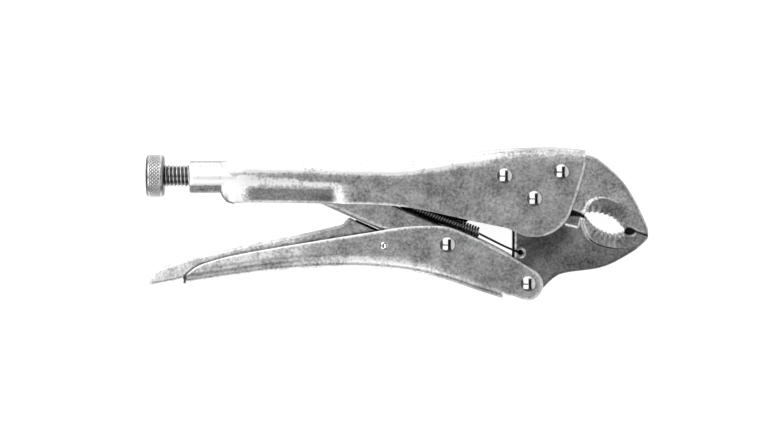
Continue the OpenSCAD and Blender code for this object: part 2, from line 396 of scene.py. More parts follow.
def relief_plate(outline, height, step=0.55, layers=5, holes=()):
    """A solid with the same outline on both sides and a height given for each point."""
    rims = [np.array(outline)] + [np.array(h) for h in holes]
    low, high = rims[0].min(0), rims[0].max(0)
    xs, ys = np.arange(low[0], high[0], step), np.arange(low[1], high[1], step * 0.87)
    field = np.array([
        (x + (step / 2 if j % 2 else 0), y) for j, y in enumerate(ys) for x in xs
    ])

    def within(p):
        kept = inside(p, rims[0])
        for hole in rims[1:]:
            kept &= ~inside(p, hole)
        return kept

    field = field[within(field)]
    for rim in rims:
        field = field[distance_to(field, rim) > step * 0.35]
    edges, start = [], 0
    for rim in rims:
        edges += [(start + i, start + (i + 1) % len(rim)) for i in range(len(rim))]
        start += len(rim)
    flat = np.concatenate(rims + [field])
    found = geometry.delaunay_2d_cdt([Vector(p) for p in flat], edges, [], 0, 1e-5, False)
    flat = np.array([tuple(p) for p in found[0]])
    triangles = np.array([tuple(f) for f in found[2]])
    triangles = triangles[within(flat[triangles].mean(axis=1))]
    faces = [tuple(int(i) for i in f) for f in triangles]
    tall = height(flat)
    count = len(flat)
    points = [np.column_stack([flat, tall]), np.column_stack([flat, -tall])]
    all_faces = faces + [tuple(i + count for i in reversed(f)) for f in faces]
    used = {(a, b) for f in faces for a, b in zip(f, f[1:] + f[:1])}
    follows = {a: b for a, b in used if (b, a) not in used}
    base = 2 * count
    while follows:
        chain = [next(iter(follows))]
        while (nxt := follows.pop(chain[-1])) != chain[0]:
            chain.append(nxt)
        rows = [list(chain)]
        for k in range(1, layers):
            z = tall[chain] * (1 - 2 * k / layers)
            points.append(np.column_stack([flat[chain], z]))
            rows.append([base + i for i in range(len(chain))])
            base += len(chain)
        rows.append([i + count for i in chain])
        for upper, lower in zip(rows[:-1], rows[1:]):
            for i in range(len(chain)):
                j = (i + 1) % len(chain)
                all_faces.append((upper[i], lower[i], lower[j], upper[j]))
    return np.concatenate(points), all_faces


def flat_plate(rim, thick, spacing, step):
    """A plate of one thickness on both sides of the middle, with an evenly split rim."""
    outline = evenly(np.array([*rim, rim[0]]), spacing)[:-1]
    return relief_plate(outline, lambda p: np.full(len(p), thick), step, 2)


# ---- Materials ----

def node_of(tree, kind, **values):
    """A new shader node, with its settings or inputs given by name."""
    made = tree.nodes.new(kind)
    for key, value in values.items():
        if hasattr(made, key):
            setattr(made, key, value)
        else:
            made.inputs[key].default_value = value
    return made


def metal(name, dark, light, rough, grain, bump, mottle=0.5):
    """Plated steel: fine speckle in colour and roughness, slow mottling and a fine bump.

    grain is how many specks there are in a metre. The piece's tone, its painted light and shade,
    scales the colour.
    The name of the record's slot is given back with it, as Blender may change its own."""
    m = bpy.data.materials.new(name)
    m.use_nodes = True
    tree = m.node_tree
    tree.nodes.clear()
    link = tree.links.new
    out = tree.nodes.new("ShaderNodeOutputMaterial")
    shader = node_of(tree, "ShaderNodeBsdfPrincipled", Metallic=1.0)
    link(shader.outputs["BSDF"], out.inputs["Surface"])
    place = tree.nodes.new("ShaderNodeTexCoord")
    where = place.outputs["Object"]
    fine = node_of(tree, "ShaderNodeTexNoise", Scale=grain, Detail=4.0, Roughness=0.65)
    slow = node_of(tree, "ShaderNodeTexNoise", Scale=grain / 9, Detail=4.0, Roughness=0.6)
    link(where, fine.inputs["Vector"])
    link(where, slow.inputs["Vector"])
    mix = node_of(tree, "ShaderNodeMix", data_type="FLOAT")
    mix.inputs["Factor"].default_value = mottle
    link(fine.outputs["Fac"], mix.inputs["A"])
    link(slow.outputs["Fac"], mix.inputs["B"])
    ramp = tree.nodes.new("ShaderNodeValToRGB")
    ramp.color_ramp.elements[0].position = 0.36
    ramp.color_ramp.elements[0].color = (*[dark] * 2, dark * 1.02, 1)
    ramp.color_ramp.elements[1].position = 0.64
    ramp.color_ramp.elements[1].color = (*[light] * 2, light * 1.01, 1)
    link(mix.outputs["Result"], ramp.inputs["Fac"])
    # The tone attribute holds each piece's painted light and shade, multiplied into the colour.
    tone = node_of(tree, "ShaderNodeAttribute", attribute_name="tone")
    shaded = node_of(tree, "ShaderNodeMix", data_type="RGBA", blend_type="MULTIPLY",
                     clamp_result=True)
    shaded.inputs["Factor"].default_value = 1.0
    link(ramp.outputs["Color"], shaded.inputs[6])
    link(tone.outputs["Fac"], shaded.inputs[7])
    link(shaded.outputs[2], shader.inputs["Base Color"])
    spread = node_of(tree, "ShaderNodeMapRange")
    spread.inputs["From Min"].default_value = 0.3
    spread.inputs["From Max"].default_value = 0.7
    spread.inputs["To Min"].default_value = rough - 0.07
    spread.inputs["To Max"].default_value = rough + 0.09
    link(mix.outputs["Result"], spread.inputs["Value"])
    link(spread.outputs["Result"], shader.inputs["Roughness"])
    relief = node_of(tree, "ShaderNodeBump", Strength=bump, Distance=0.0002)
    link(fine.outputs["Fac"], relief.inputs["Height"])
    link(relief.outputs["Normal"], shader.inputs["Normal"])
    return name, m


SHEET_METAL = metal("plated_sheet", 0.16, 0.64, 0.38, 820, 0.32, 0.42)
JAW_METAL = metal("forged_jaw", 0.16, 0.64, 0.40, 820, 0.35, 0.42)
RIVET_METAL = metal("rivet_steel", 0.60, 0.72, 0.11, 900, 0.08)
SCREW_METAL = metal("screw_steel", 0.28, 0.40, 0.22, 1500, 0.06)
KNOB_METAL = metal("knob_steel", 0.40, 0.56, 0.28, 1500, 0.1)
SPRING_METAL = metal("spring_steel", 0.14, 0.26, 0.24, 1500, 0.1)


# ---- Upper handle ----

UPPER_SPINE = smooth([
    [-88.3, 30.85], [-73, 31.9], [-20, 30.6], [3, 30.7], [29, 34.6], [53, 37.3], [77, 38.1],
    [94, 36.8]
], 24)
UPPER_EDGE = np.concatenate([
    smooth([[-88.5, 24], [-88.5, 17], [-86, 12.2], [-82, 10.4], [-73, 11], [-27, 10.3],
            [3, 8.9], [34, 2.6], [55, -1.7]], 24),
    arc(JAW_PIVOT, 19.4, -108, -18, 60),
    smooth([[87.2, 8], [90.6, 17.6], [93.4, 27.5], [94, 31]], 12),
])
UPPER_RIM = UPPER_EDGE[::4]
GRIP_EDGE = UPPER_EDGE[60:240]
UPPER_KEYS = [
    ([-88.3, 30.85], [-88.5, 24]), ([-80, 31.5], [-80, 10.5]), ([78, 38.1], [78, -3.8]),
    ([94, 36.8], [94, 31]),
]
CURL_FROM, CURL_FULL, CURL_TO = -89, -33, -26
CURL_HEIGHT, CURL_IN = 11.5, 1.9
REAR_CROWN = 1.3


def curled(points):
    """The lower half of the grip's walls rolls inwards, so that it is easy on the hand."""
    p = points.copy()
    share = np.clip(1 - above(p, GRIP_EDGE) / CURL_HEIGHT, 0, 1)
    fade = ease((p[:, 0] - CURL_FULL) / (CURL_TO - CURL_FULL))
    along = ease((p[:, 0] - CURL_FROM) / 6) * (1 - fade)
    crown = np.clip((-74 - p[:, 0]) / 15, 0, 1) ** 2 * REAR_CROWN
    inwards = share**1.7 * along * CURL_IN + crown * (1 - share * along)
    p[:, 2] -= np.sign(p[:, 2]) * np.minimum(inwards, np.abs(p[:, 2]))
    return p


SPINE_TONE = 1.1


def on_faces(p, shade):
    """The painted light and shade go on the two broad sides of the tool, with one plain tone on the
    spine.
    """
    return SPINE_TONE + (shade - SPINE_TONE) * ease((np.abs(p[:, 2]) - 2.4) / 2)


def grip_tone(p):
    """Painted light on the grip: the rolled part is painted darker as painted shade, and the folds,
    the rear and the cut edges get painted highlights. Two dark spots and the rear corner get
    painted shade.
    """
    up = above(p, GRIP_EDGE)
    low = ease((9.6 - up) / 2.2)
    along = ease((p[:, 0] + 80) / 8) * (1 - ease((p[:, 0] + 33) / 5))
    bend = ease((above(p, UPPER_SPINE) + 6.6) / 2) * (1 - 0.8 * ease((p[:, 0] - 20) / 50))
    rear = 1 - ease((p[:, 0] + 88) / 8)
    ring = 1 - ease((p[:, 0] + 33) / 12)
    top = 14 - 3 * ease((p[:, 0] + 80) / 50)
    white = ring * ease((top - up) / 1.2) * (1 - low * along)
    edge = near_line(p, UPPER_RIM, 1.8) * ease((np.abs(p[:, 0] - 38) - 30) / 8)
    shade = 1 - 0.4 * low * along + 2.2 * np.maximum.reduce([bend, rear, white, edge])
    shade *= 1 - 0.6 * spot(p, (-35, 13.2), (6, 2.6)) * (p[:, 0] < -27)
    shade *= 1 - 0.85 * spot(p, (-87.4, 28.6), (0.9, 1.1))
    corner = near_line(p, UPPER_RIM, 2.2) * (p[:, 0] < -81.5) * (p[:, 1] < 20.6)
    return on_faces(p, shade) * (1 - 0.9 * corner)


def upper_handle():
    """The folded sheet of the upper handle, from the rolled grip to the jaw plates."""
    spine, edge = pair_up(UPPER_SPINE, UPPER_EDGE, UPPER_KEYS, 260)
    points, faces = folded_sheet(spine, edge, -1, HANDLE_HALF, SHEET, 4.6, 0.5, curled)
    piece("upper_handle_shell", points, faces, "fixed_handle", "upper_handle", SHEET_METAL,
          tone=grip_tone)


def rolled_tube():
    """The rear of the handle, rolled round the screw, with the lap of the sheet below."""
    back, front = -103.9, -81.0
    centre_y, r, bore = 23.4, 8.0, 5.75
    seam, steps = math.radians(-30), 96
    end_trim, tuck_depth, tuck_to = 0.6, 1.5, 2.7
    rings = []
    for x in [back, back + 0.25, back + end_trim, *np.linspace(back + 2, front, 12)]:
        ring = []
        trim = max(0.0, end_trim - (x - back)) * 0.7
        for k in range(steps):
            a = seam - 2 * math.pi * k / (steps - 1)
            past_seam = seam - a
            tuck = tuck_depth * (1 - ease((past_seam - 0.2) / 0.7))
            rr = r - trim - (tuck if past_seam < tuck_to else 0)
            ring.append([x, centre_y + rr * math.sin(a), rr * math.cos(a)])
        for k in range(steps - 1, -1, -1):
            a = seam - 2 * math.pi * k / (steps - 1)
            ring.append([x, SCREW_Y + bore * math.sin(a), bore * math.cos(a)])
        rings.append(np.array(ring))
    points, faces = loft(rings)
    count = len(rings[0])
    for base in (0, (len(rings) - 1) * count):
        for k in range(steps - 1):
            faces.append((base + k, base + k + 1, base + count - 2 - k, base + count - 1 - k))

    # Painted light: the tube is painted bright all round as a painted highlight, the lap below the
    # seam is painted darker, and a painted shadow line runs just below the seam.
    def tone(p):
        below = seam - np.arctan2(p[:, 1] - centre_y, np.abs(p[:, 2]))
        line = np.exp(-((below * r - 0.6) / 0.9) ** 2) * (p[:, 2] > 0)
        return on_faces(p, (3.4 - 1.8 * (below > 0)) * (1 - 0.95 * line))

    piece("upper_handle_tube", points, faces, "fixed_handle", "upper_handle", SHEET_METAL,
          tone=tone)


def painted_shade_strips():
    """Strips at the depth of the far walls, painted near black as deep shade, behind the gaps
    beside the spring and link.
    """
    strips = {
        "handle_shade_strip": ("fixed_handle", "upper_handle", -7.6, 0.6, [
            [1.5, 9.8], [1.5, 7.6], [8, 3.8], [14, 1.2], [20, -0.9], [26, -1.4], [34, -0.6],
            [37, 2], [36.5, 3], [20, 6.5],
        ]),
        "lever_shade_strip": ("lever", "release_lever", -3.9, 0.4, [
            [-20.6, 1.7], [-9.4, -3.3], [-9.4, -6], [-16, -5], [-22, -1],
        ]),
    }
    for name, (body, node, z, thick, rim) in strips.items():
        points, faces = flat_plate(rim, thick, 0.8, 1.0)
        points[:, 2] += z
        # The top face of each strip is painted near black, as painted shade.
        piece(name, points, faces, body, node, SHEET_METAL,
              tone=lambda p: np.where(p[:, 2] > z, 0.03, 1.0))


def spring_tab():
    """The small tab inside the handle that holds the rear leg of the spring."""
    x, y = SPRING_ANCHOR
    rim = [*arc([x, y], 2.0, 0, -180, 16), [x - 2, 29.4], [x + 2, 29.4]]
    points, faces = flat_plate(rim, 0.8, 0.5, 0.8)
    piece("spring_tab", points, faces, "fixed_handle", "upper_handle", SHEET_METAL)


# ---- Jaws ----

THROAT_UPPER = smooth([[93.5, 5.4], [98.4, 5.9], [104.4, 4.5], [109.2, 1.9], [113.4, -2.9]], 12)
THROAT_LOWER = smooth([[94.8, 3.2], [98.6, -1], [103.7, -3.9], [108.5, -5.2], [113.4, -4]], 12)
NOSE_UPPER = np.array([[118.9, -3.5], [123, -5], [FRONT_X, -5.7]])
NOSE_GAP = np.array([0, -0.15])
TOOTH_DEPTH = 0.8
SPRING_HOLE, HOLE_R = np.array([61.6, -14.3]), 1.9
RIVET_HOLE_R = 2.85
UPPER_PITCH, LOWER_PITCH = 2.45, 2.1
GROOVE_DEPTH = 0.14
UPPER_PAD = np.concatenate([
    [[92.4, -6], [92.6, 6]],
    smooth([[93.2, 6.3], [95.1, 9.8], [97.6, 12.5], [103.7, 13.4], [108.5, 11.9], [114, 8.8],
            [119, 5.2], [130, 0]], 8),
    [[130, -20]],
])
UPPER_PAD_RIM, UPPER_PAD_REAR = UPPER_PAD[2:-3], UPPER_PAD[1:18]
LOWER_PAD = np.concatenate([
    [[93, 14]],
    smooth([[92.6, 3.4], [92.6, 0.6], [94, -3.2], [96.6, -7.6], [101.4, -10.4], [107.4, -11.8],
            [114, -12.2], [120, -11], [130, -8]], 8),
    [[130, 14]],
])
LOWER_PAD_RIM = LOWER_PAD[1:-1]


def edge_round(points, outline, throat, outer_r, tooth_r):
    """How much lower the surface is near the outline, with a smaller round at the teeth."""
    gap = distance_to(points, outline)
    near_teeth = 1 - ease((distance_to(points, throat, closed=False) - 0.8) / 1.5)
    r = outer_r + (tooth_r - outer_r) * near_teeth
    inner = np.clip(r - gap, 0, None)
    return r - np.sqrt(np.maximum(r * r - inner * inner, 0))


def tooth_lines(points, throat, pitch, reach):
    """Faint grooves that run on from the roots of the teeth across a pad."""
    q = evenly(throat, 0.25)
    s = lengths(q)
    gap = np.full(len(points), 1e9)
    along = np.zeros(len(points))
    for k in range(len(q)):
        d = np.linalg.norm(points - q[k], axis=1)
        closer = d < gap
        gap[closer] = d[closer]
        along[closer] = s[k]
    teeth = round(s[-1] / pitch)
    wave = np.abs(np.sin(math.pi * along / s[-1] * teeth))
    ends = (along > 0.3) & (along < s[-1] - 0.3)
    return wave**2 * ease(1 - gap / reach) * ends


def fixed_jaw():
    """The upper jaw, with a raised toothed pad in front of the handle's plates."""
    head = arc(JAW_PIVOT, 10.3, 170, -20, 40)
    back = smooth([[FRONT_X, -3.4], [124.7, -0.6], [119.6, 10.6], [112, 22.3], [101.4, 31.8],
                   [96.4, 34.1]], 10)
    teeth = toothed(THROAT_UPPER, UPPER_PITCH, TOOTH_DEPTH, 1)
    nose = np.array([[113.7, -2.5], [114.9, -1.9], [116.2, -2.0], [117.4, -2.5], [118.5, -3.0]])
    outline = np.concatenate([
        back, [[90, 34.9], [77, 35.2], [53, 34.6], [47, 33.2], [44.5, 29], [44.5, 20], [50, 16.2]],
        head, [[87, 7], [91.4, 5.5], [93.0, 4.8]], teeth[:-2], nose, NOSE_UPPER
    ])

    def height(p):
        soft = 0.45 + 1.5 * (1 - ease((p[:, 0] - 93) / 5))
        pad = ease(depth_in(p, UPPER_PAD) / soft + 0.5)
        pad *= 1 - 0.85 * ease((p[:, 0] - 102) / 13)
        lines = tooth_lines(p, THROAT_UPPER, UPPER_PITCH, 7.5)
        return (
            JAW_HALF + PAD_RISE * pad - GROOVE_DEPTH * lines
            - edge_round(p, outline, THROAT_UPPER, 1.5, 0.35)
        )

    # Painted light: the pad is painted a little darker than the body, with painted highlights along
    # the pad's rim and its rear edge on the top face.
    def tone(p):
        shade = 1.15 - 0.3 * ease((depth_in(p[:, :2], UPPER_PAD) + 1) / 2)
        rim = near_line(p, UPPER_PAD_RIM, 0.8)
        rim *= 1 - ease((p[:, 0] - 109) / 5)
        left = near_line(p, UPPER_PAD_REAR, 1.8)
        return shade + (1.2 * rim + 0.3 * left * (p[:, 0] < 98)) * (p[:, 2] > JAW_HALF - 1)

    points, faces = relief_plate(outline, height)
    piece("fixed_jaw_forging", points, faces, "fixed_handle", "fixed_jaw", JAW_METAL, 50, tone)


def jaw_gap_shades():
    """Thin plates on the fixed jaw, painted near black as shade, that close the gaps at both ends
    of the opening.
    """
    for name, rim in {
        "throat_gap_shade": [[79, 10.5], [79, 8.2], [85.2, 4.4], [92, 3.6], [93.4, 2.6], [93.9, 3.4],
                       [93.6, 5.2], [90, 7], [87, 7.8]],
        "nose_gap_shade": [[113.9, -1.6], [113.9, -4.8], [116, -5.3], [118.6, -4.6], [119.2, -3.4],
                     [118.6, -2.6], [116, -1.6]],
    }.items():
        points, faces = flat_plate(rim, 3.4, 0.5, 0.7)
        # Each plate is painted near black all over, as painted shade.
        piece(name, points, faces, "fixed_handle", "fixed_jaw", JAW_METAL,
              tone=lambda p: np.full(len(p), 0.04))


def moving_jaw():
    """The lower jaw, with its pad, a raised facet, a dished web and three holes."""
    bottom = smooth([[73, -32], [78.8, -26.6], [84.9, -24.2], [102.9, -21.4], [117.4, -14],
                     [124.2, -8.3], [FRONT_X, -6.4]], 10)[::-1]
    teeth = toothed(THROAT_LOWER, LOWER_PITCH, TOOTH_DEPTH, -1)
    nose = np.array([[113.7, -4.4], [114.7, -4.9], [116, -5.1], [117.4, -4.8], [118.4, -4.2]])
    outline = np.concatenate([
        [[57.6, -16], [57.6, 4]], arc(JAW_PIVOT, 9.5, 215, -25, 40),
        [[85, 4.7], [92, 3.95], [93.2, 3.4]], teeth, nose, NOSE_UPPER + NOSE_GAP, bottom,
        arc(HANDLE_PIVOT, 7.2, -45, -180, 24)
    ])
    facet = np.array([[84.0, 5.5], [92.0, 4.8], [90.4, -1.4], [84.4, 0.0]])

    def height(p):
        soft = 0.5 + 1.4 * (1 - ease((p[:, 0] - 94) / 5))
        pad = ease(depth_in(p, LOWER_PAD) / soft + 0.5)
        pad *= 1 - 0.8 * ease((p[:, 0] - 108) / 12)
        lines = tooth_lines(p, THROAT_LOWER, LOWER_PITCH, 6.5)
        raised = ease(depth_in(p, facet) / 0.7 + 0.5)
        dish = spot(p, (80, -9), (8, 7))
        return (
            JAW_HALF + PAD_RISE * pad - GROOVE_DEPTH * lines
            + 0.4 * raised * (1 - pad) - 0.9 * dish * (1 - raised)
            - edge_round(p, outline, THROAT_LOWER, 1.4, 0.35)
            - 0.5 * ease(1 - (np.linalg.norm(p - SPRING_HOLE, axis=1) - HOLE_R) / 0.7)
        )

    # Painted light: the body round the pad and the dish are painted darker as painted shade. The
    # facet's edges, the rear edge, the left of the pad's rim and a ring round the spring hole get
    # painted highlights. The rear side wall, the right of the pad's rim and the inside of the
    # spring hole get painted shade.
    def tone(p):
        flat = p[:, :2]
        body = 1 - ease((depth_in(flat, LOWER_PAD) + 1.2) / 2)
        deep = spot(p, (83, -5), (5, 6)) + 0.8 * spot(p, (67, -12), (7, 8))
        shade = 0.85 - body * (0.36 + 0.32 * deep)
        face = p[:, 2] > JAW_HALF - 2
        shade += 2 * near_line(p, facet[1:], 0.8) * face
        shade += 2 * ease((59.9 - p[:, 0]) / 0.6) * face
        shade[(p[:, 0] < 58.7) & face] = 0.05
        left = 1 - ease((p[:, 0] - 94) / 3)
        shade += 0.7 * near_line(p, LOWER_PAD_RIM, 1.3) * face * left
        right = (1 - left) * (1 - ease((p[:, 0] - 104) / 12))
        shade -= 0.7 * near_line(p, LOWER_PAD_RIM, 0.7) * face * right
        from_hole = np.linalg.norm(flat - SPRING_HOLE, axis=1)
        shade += 1.3 * (1 - ease(np.abs(from_hole - 2.3) / 0.45)) * face
        shade[(p[:, 0] < 58.2) & (np.abs(p[:, 2]) < JAW_HALF - 1)] = 0.08
        shade[(from_hole < HOLE_R + 0.1) & (np.abs(p[:, 2]) < JAW_HALF - 0.8)] = 0.05
        return shade

    holes = [
        arc(centre, r, 0, 350, 35) for centre, r in
        ((SPRING_HOLE, HOLE_R), (JAW_PIVOT, RIVET_HOLE_R), (HANDLE_PIVOT, RIVET_HOLE_R))
    ]
    points, faces = relief_plate(outline, height, holes=holes)
    piece("moving_jaw_forging", points, faces, "lower_jaw", "moving_jaw", JAW_METAL, 50, tone)


# ---- Lower handle ----

LOWER_SPINE = smooth([
    [52.4, -37.1], [41.4, -33.6], [23.4, -27.6], [5.4, -23.7], [-18.6, -21.6], [-42.6, -22.1],
    [-66.6, -24.1], [-106.4, -29.85]
], 24)[::-1]
EAR, EAR_R = [64.8, -30], 8.1
LOWER_EDGE = np.concatenate([
    smooth([[-107, -29.2], [-106, -26.4], [-104.3, -24.2], [-97.4, -19.8], [-79.6, -15],
            [-48.1, -9.4], [-14, -3.9], [3, -1.2], [21.9, -0.6], [34, -4.3], [52.4, -13.2],
            [65.9, -21.3]], 24),
    arc(EAR, EAR_R, 60, -110, 60),
    smooth([[60.3, -36.6], [57.5, -35.7], [54.5, -35.4], [52.8, -34.6]], 8),
])
LOWER_RIM = LOWER_EDGE[::4]
LOWER_KEYS = [
    ([-106.4, -29.85], [-107, -29.2]), ([-96, -28.3], [-97.4, -19.8]),
    ([40, -33.1], [40, -7.0]), ([52.4, -37.1], [52.8, -34.6]),
]


def lower_handle():
    """The folded sheet of the lower handle, open towards the upper one."""
    spine, edge = pair_up(LOWER_SPINE, LOWER_EDGE, LOWER_KEYS, 260)
    points, faces = folded_sheet(spine, edge, 1, HANDLE_HALF, SHEET, 4.2, 0.5)

    # Painted light: painted highlights on the bend by the spine and along the cut edge, a lighter
    # upper wall towards the rear, a dark band painted beside the bend at the rear, and the rear end
    # painted dark.
    def tone(p):
        up = above(p, LOWER_SPINE)
        rear = ease((-20 - p[:, 0]) / 45)
        bend = (1 - ease((up - 4.5) / 2.5)) * ease((40 - p[:, 0]) / 40)
        band = np.exp(-(((up - 4.0) / 1.3) ** 2)) * rear
        white = np.maximum(rear * ease((up - 6) / 2) * 0.5, near_line(p, LOWER_RIM, 1.8))
        shade = (1 + 2.2 * np.maximum(white, 0.6 * bend)) * (1 - 0.75 * band)
        return np.where(p[:, 0] < -105.4, 0.25, on_faces(p, shade))

    piece("lower_handle_shell", points, faces, "moving_handle", "lower_handle", SHEET_METAL,
          tone=tone)


# ---- Link and lever ----

LINK_END = np.array([-49.6, 22.6])
LINK_HALF = 6.8


def toggle_link():
    """The channel between the link rivet and the screw, drawn along its own length."""
    run = LINK_END - LINK_PIVOT
    length = np.linalg.norm(run)
    along = run / length
    across = np.array([along[1], -along[0]])
    if across[1] < 0:
        across = -across
    spine = smooth([[8, -LINK_HALF], [length / 2, -LINK_HALF], [length - 9, -LINK_HALF],
                    [length - 5, -LINK_HALF + 1.6]], 16)
    edge = np.concatenate([
        arc([0, 0], LINK_HALF, -80, -270, 40),
        smooth([[2, LINK_HALF], [30, LINK_HALF], [58, LINK_HALF], [length - 12, 5.6],
                [length - 2, 3.9]], 12),
        arc([length, 0], 4.0, 80, -50, 20),
    ])
    keys = [
        (spine[0], edge[0]), ([16, -LINK_HALF], [10, LINK_HALF]),
        ([length - 12, -LINK_HALF], [length - 14, 5.8]), (spine[-1], edge[-1]),
    ]
    spine, edge = pair_up(spine, edge, keys, 160)
    points, faces = folded_sheet(spine, edge, 1, INNER_HALF, INNER_SHEET, 2.6, 0.6)
    flat = LINK_PIVOT + points[:, :1] * along + points[:, 1:2] * across

    # Painted highlight along the rounded spine on the link's lower side.
    def tone(p):
        away = (p[:, :2] - LINK_PIVOT) @ across
        return 1 + 1.5 * (1 - ease((away + LINK_HALF) / 1.6))

    points = np.column_stack([flat, points[:, 2]])
    piece("toggle_link_channel", points, faces, "link", "toggle_link", SHEET_METAL, tone=tone)


LEVER_SPINE = smooth([
    [-24, -18.4], [-54.6, -20.1], [-78.6, -22.8], [-106, -27.3], [-123.6, -30.9]
], 24)[::-1]
LEVER_EDGE = np.concatenate([
    smooth([[-123.7, -30.2], [-122.5, -28.0], [-121.2, -25.6], [-119.6, -23.2], [-107.6, -18.9],
            [-79.6, -11.9], [-49.3, -5.9], [-29, -1.2], [-26.4, 0.4], [-24.9, 2.1], [-23.6, 2.6],
            [-22.2, 1.9], [-14, -1.9], [-6, -5.2]], 16),
    arc(LEVER_PIVOT, 5.4, 75, -120, 40),
    smooth([[-12, -15.6], [-19, -16.6], [-23, -17.2]], 6),
])


def release_lever():
    """The channel of the release lever, which shows above and behind the lower handle."""
    keys = [
        (LEVER_SPINE[0], LEVER_EDGE[0]), ([-110, -28.1], [-107.6, -18.9]),
        ([-40, -19.2], [-40, -3.9]), (LEVER_SPINE[-1], LEVER_EDGE[-1]),
    ]
    spine, edge = pair_up(LEVER_SPINE, LEVER_EDGE, keys, 220)
    points, faces = folded_sheet(spine, edge, 1, INNER_HALF, INNER_SHEET, 2.4, 0.6)

    # Painted light: the rear of the lever is painted brighter, and a painted shadow runs along the
    # lower handle's cut edge.
    def tone(p):
        rear = ease((-30 - p[:, 0]) / 30)
        shadow = near_line(p, LOWER_RIM, 1.5) * (p[:, 0] > -106)
        return (1 + 0.9 * rear) * (1 - 0.92 * shadow)

    piece("release_lever_channel", points, faces, "lever", "release_lever", SHEET_METAL,
          tone=tone)


# ---- Screw and knob ----

THREAD_R, THREAD_DEPTH, THREAD_PITCH = 5.6, 0.85, 1.9
KNOB_R = half_size("screw_knob", Y)
SHOULDER_X = BACK_X + 9
SCREW_TIP_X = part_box("adjusting_screw")[1].x / MM


def adjusting_screw():
    """The rod with a helical thread that fades out at both ends."""
    start, end, chamfer = SHOULDER_X - 0.6, SCREW_TIP_X, 0.8

    def thread(t, h, radius):
        if radius[0] != THREAD_R:
            return radius
        turn = ((h - start) / THREAD_PITCH - t / (2 * math.pi)) % 1
        ridge = np.clip(1.5 - np.abs(turn - 0.5) * 4.2, 0, 1)
        fade = ease((h - start - 0.7) / 0.6) * ease((end - 1.5 - h) / 1.5)
        return radius - THREAD_DEPTH * (1 - ridge * fade)

    steps = int((end - start) / THREAD_PITCH * 12)
    profile = [
        (ON_AXIS, start), *[(THREAD_R, h) for h in np.linspace(start, end - chamfer, steps)],
        (THREAD_R - 1.4, end), (ON_AXIS, end)
    ]
    points, faces = lathe(profile, (0, SCREW_Y, 0), "x", 48, thread)

    # Painted light: the roots of the thread are painted dark as painted shade, and the crests
    # bright as painted highlights.
    def tone(p):
        from_axis = np.hypot(p[:, 1] - SCREW_Y, p[:, 2])
        return 0.3 + 1.5 * ease((from_axis - THREAD_R) / THREAD_DEPTH + 1)

    piece("screw_thread", points, faces, "screw", "adjusting_screw", SCREW_METAL, 60, tone)


def screw_knob():
    """The knob at the rear, with crossed knurls between two rounded rims."""
    back, front = BACK_X, SHOULDER_X
    knurls, depth, rim = 36, 0.4, 1.7

    def knurled(t, h, radius):
        if radius[0] < KNOB_R - 0.01:
            return radius
        lead = (h - back) / KNOB_R
        one = np.abs(np.sin(knurls * (t + lead) / 2))
        two = np.abs(np.sin(knurls * (t - lead) / 2))
        groove = np.clip(1 - np.minimum(one, two) / 0.5, 0, 1)
        fade = ease((h - back - rim) / 0.5) * ease((front - rim - h) / 0.5)
        return radius - depth * groove * fade

    corner = [
        (KNOB_R - rim + rim * math.sin(a), back + rim - rim * math.cos(a))
        for a in np.linspace(0, math.pi / 2, 7)
    ]
    far = [(r, front - (h - back)) for r, h in corner[::-1]]
    middle_part = [(KNOB_R, h) for h in np.linspace(back + rim, front - rim, 40)]
    dish = [(ON_AXIS, back + 0.5), (5.4, back + 0.5), (6.0, back + 0.12), (6.6, back)]
    face = [(KNOB_R - rim - 0.6, back)]
    profile = dish + face + corner[:-1] + middle_part + far[1:] + [(6.2, front), (ON_AXIS, front)]
    points, faces = lathe(profile, (0, SCREW_Y, 0), "x", 480, knurled)

    # Painted light: the knob is painted brighter, with painted shade in the knurl grooves and
    # darker towards the back face and the front end.
    def tone(p):
        from_axis = np.hypot(p[:, 1] - SCREW_Y, p[:, 2])
        groove = ease((KNOB_R - 0.05 - from_axis) / 0.3) * (p[:, 0] > back + rim)
        shade = (1.4 - 0.8 * groove) * (0.1 + 0.9 * ease((p[:, 0] - back - 0.4) / 1.4))
        return shade * (1 - 0.6 * ease((p[:, 0] - front + 1.2) / 1.2))

    piece("knurled_knob", points, faces, "knob", "screw_knob", KNOB_METAL, 60, tone)


# ---- Rivets ----

FLAT_R = half_size("link_rivet", X)
DOME_R, DOME_H, DOME_FOOT = 4.0, 2.2, 0.6


def rivet(node, body):
    """A rivet with a domed head above, and a flat peened head below."""
    x, y, _ = middle(node)
    top = HANDLE_HALF
    cap_h = DOME_H - DOME_FOOT
    ball_r = (DOME_R**2 + cap_h**2) / (2 * cap_h)
    steep = math.asin(DOME_R / ball_r)
    dome = [
        (ball_r * math.sin(a), top + DOME_H - ball_r * (1 - math.cos(a)))
        for a in np.linspace(steep, 0.02, 18)
    ]
    low = -MID_Z
    profile = (
        [(ON_AXIS, low), (FLAT_R - 0.5, low), (FLAT_R - 0.15, low + 0.15), (FLAT_R, low + 0.5),
         (FLAT_R, -top), (2.7, -top), (2.7, top), (DOME_R, top)]
        + dome + [(ON_AXIS, top + DOME_H)]
    )
    points, faces = lathe(profile, (x, y, 0), "z", 64)
    piece(node + "_turned", points, faces, body, node, RIVET_METAL, 40)


def lever_pin():
    """The small pin of the lever, with the same low head at both ends."""
    x, y, _ = middle("lever_pin")
    top = HANDLE_HALF
    head = [(2.0, top), (2.0, top + 0.25), (1.8, top + 0.45), (1.2, top + 0.6),
            (1.0, top + 0.45), (ON_AXIS, top + 0.35)]
    profile = [(r, -h) for r, h in head[::-1]] + [(1.45, -top), (1.45, top)] + head
    points, faces = lathe(profile, (x, y, 0), "z", 40)
    piece("lever_pin_turned", points, faces, "moving_handle", "lever_pin", RIVET_METAL, 40)


# ---- Return spring ----

SPRING_ANCHOR = np.array([-5, 15.3])


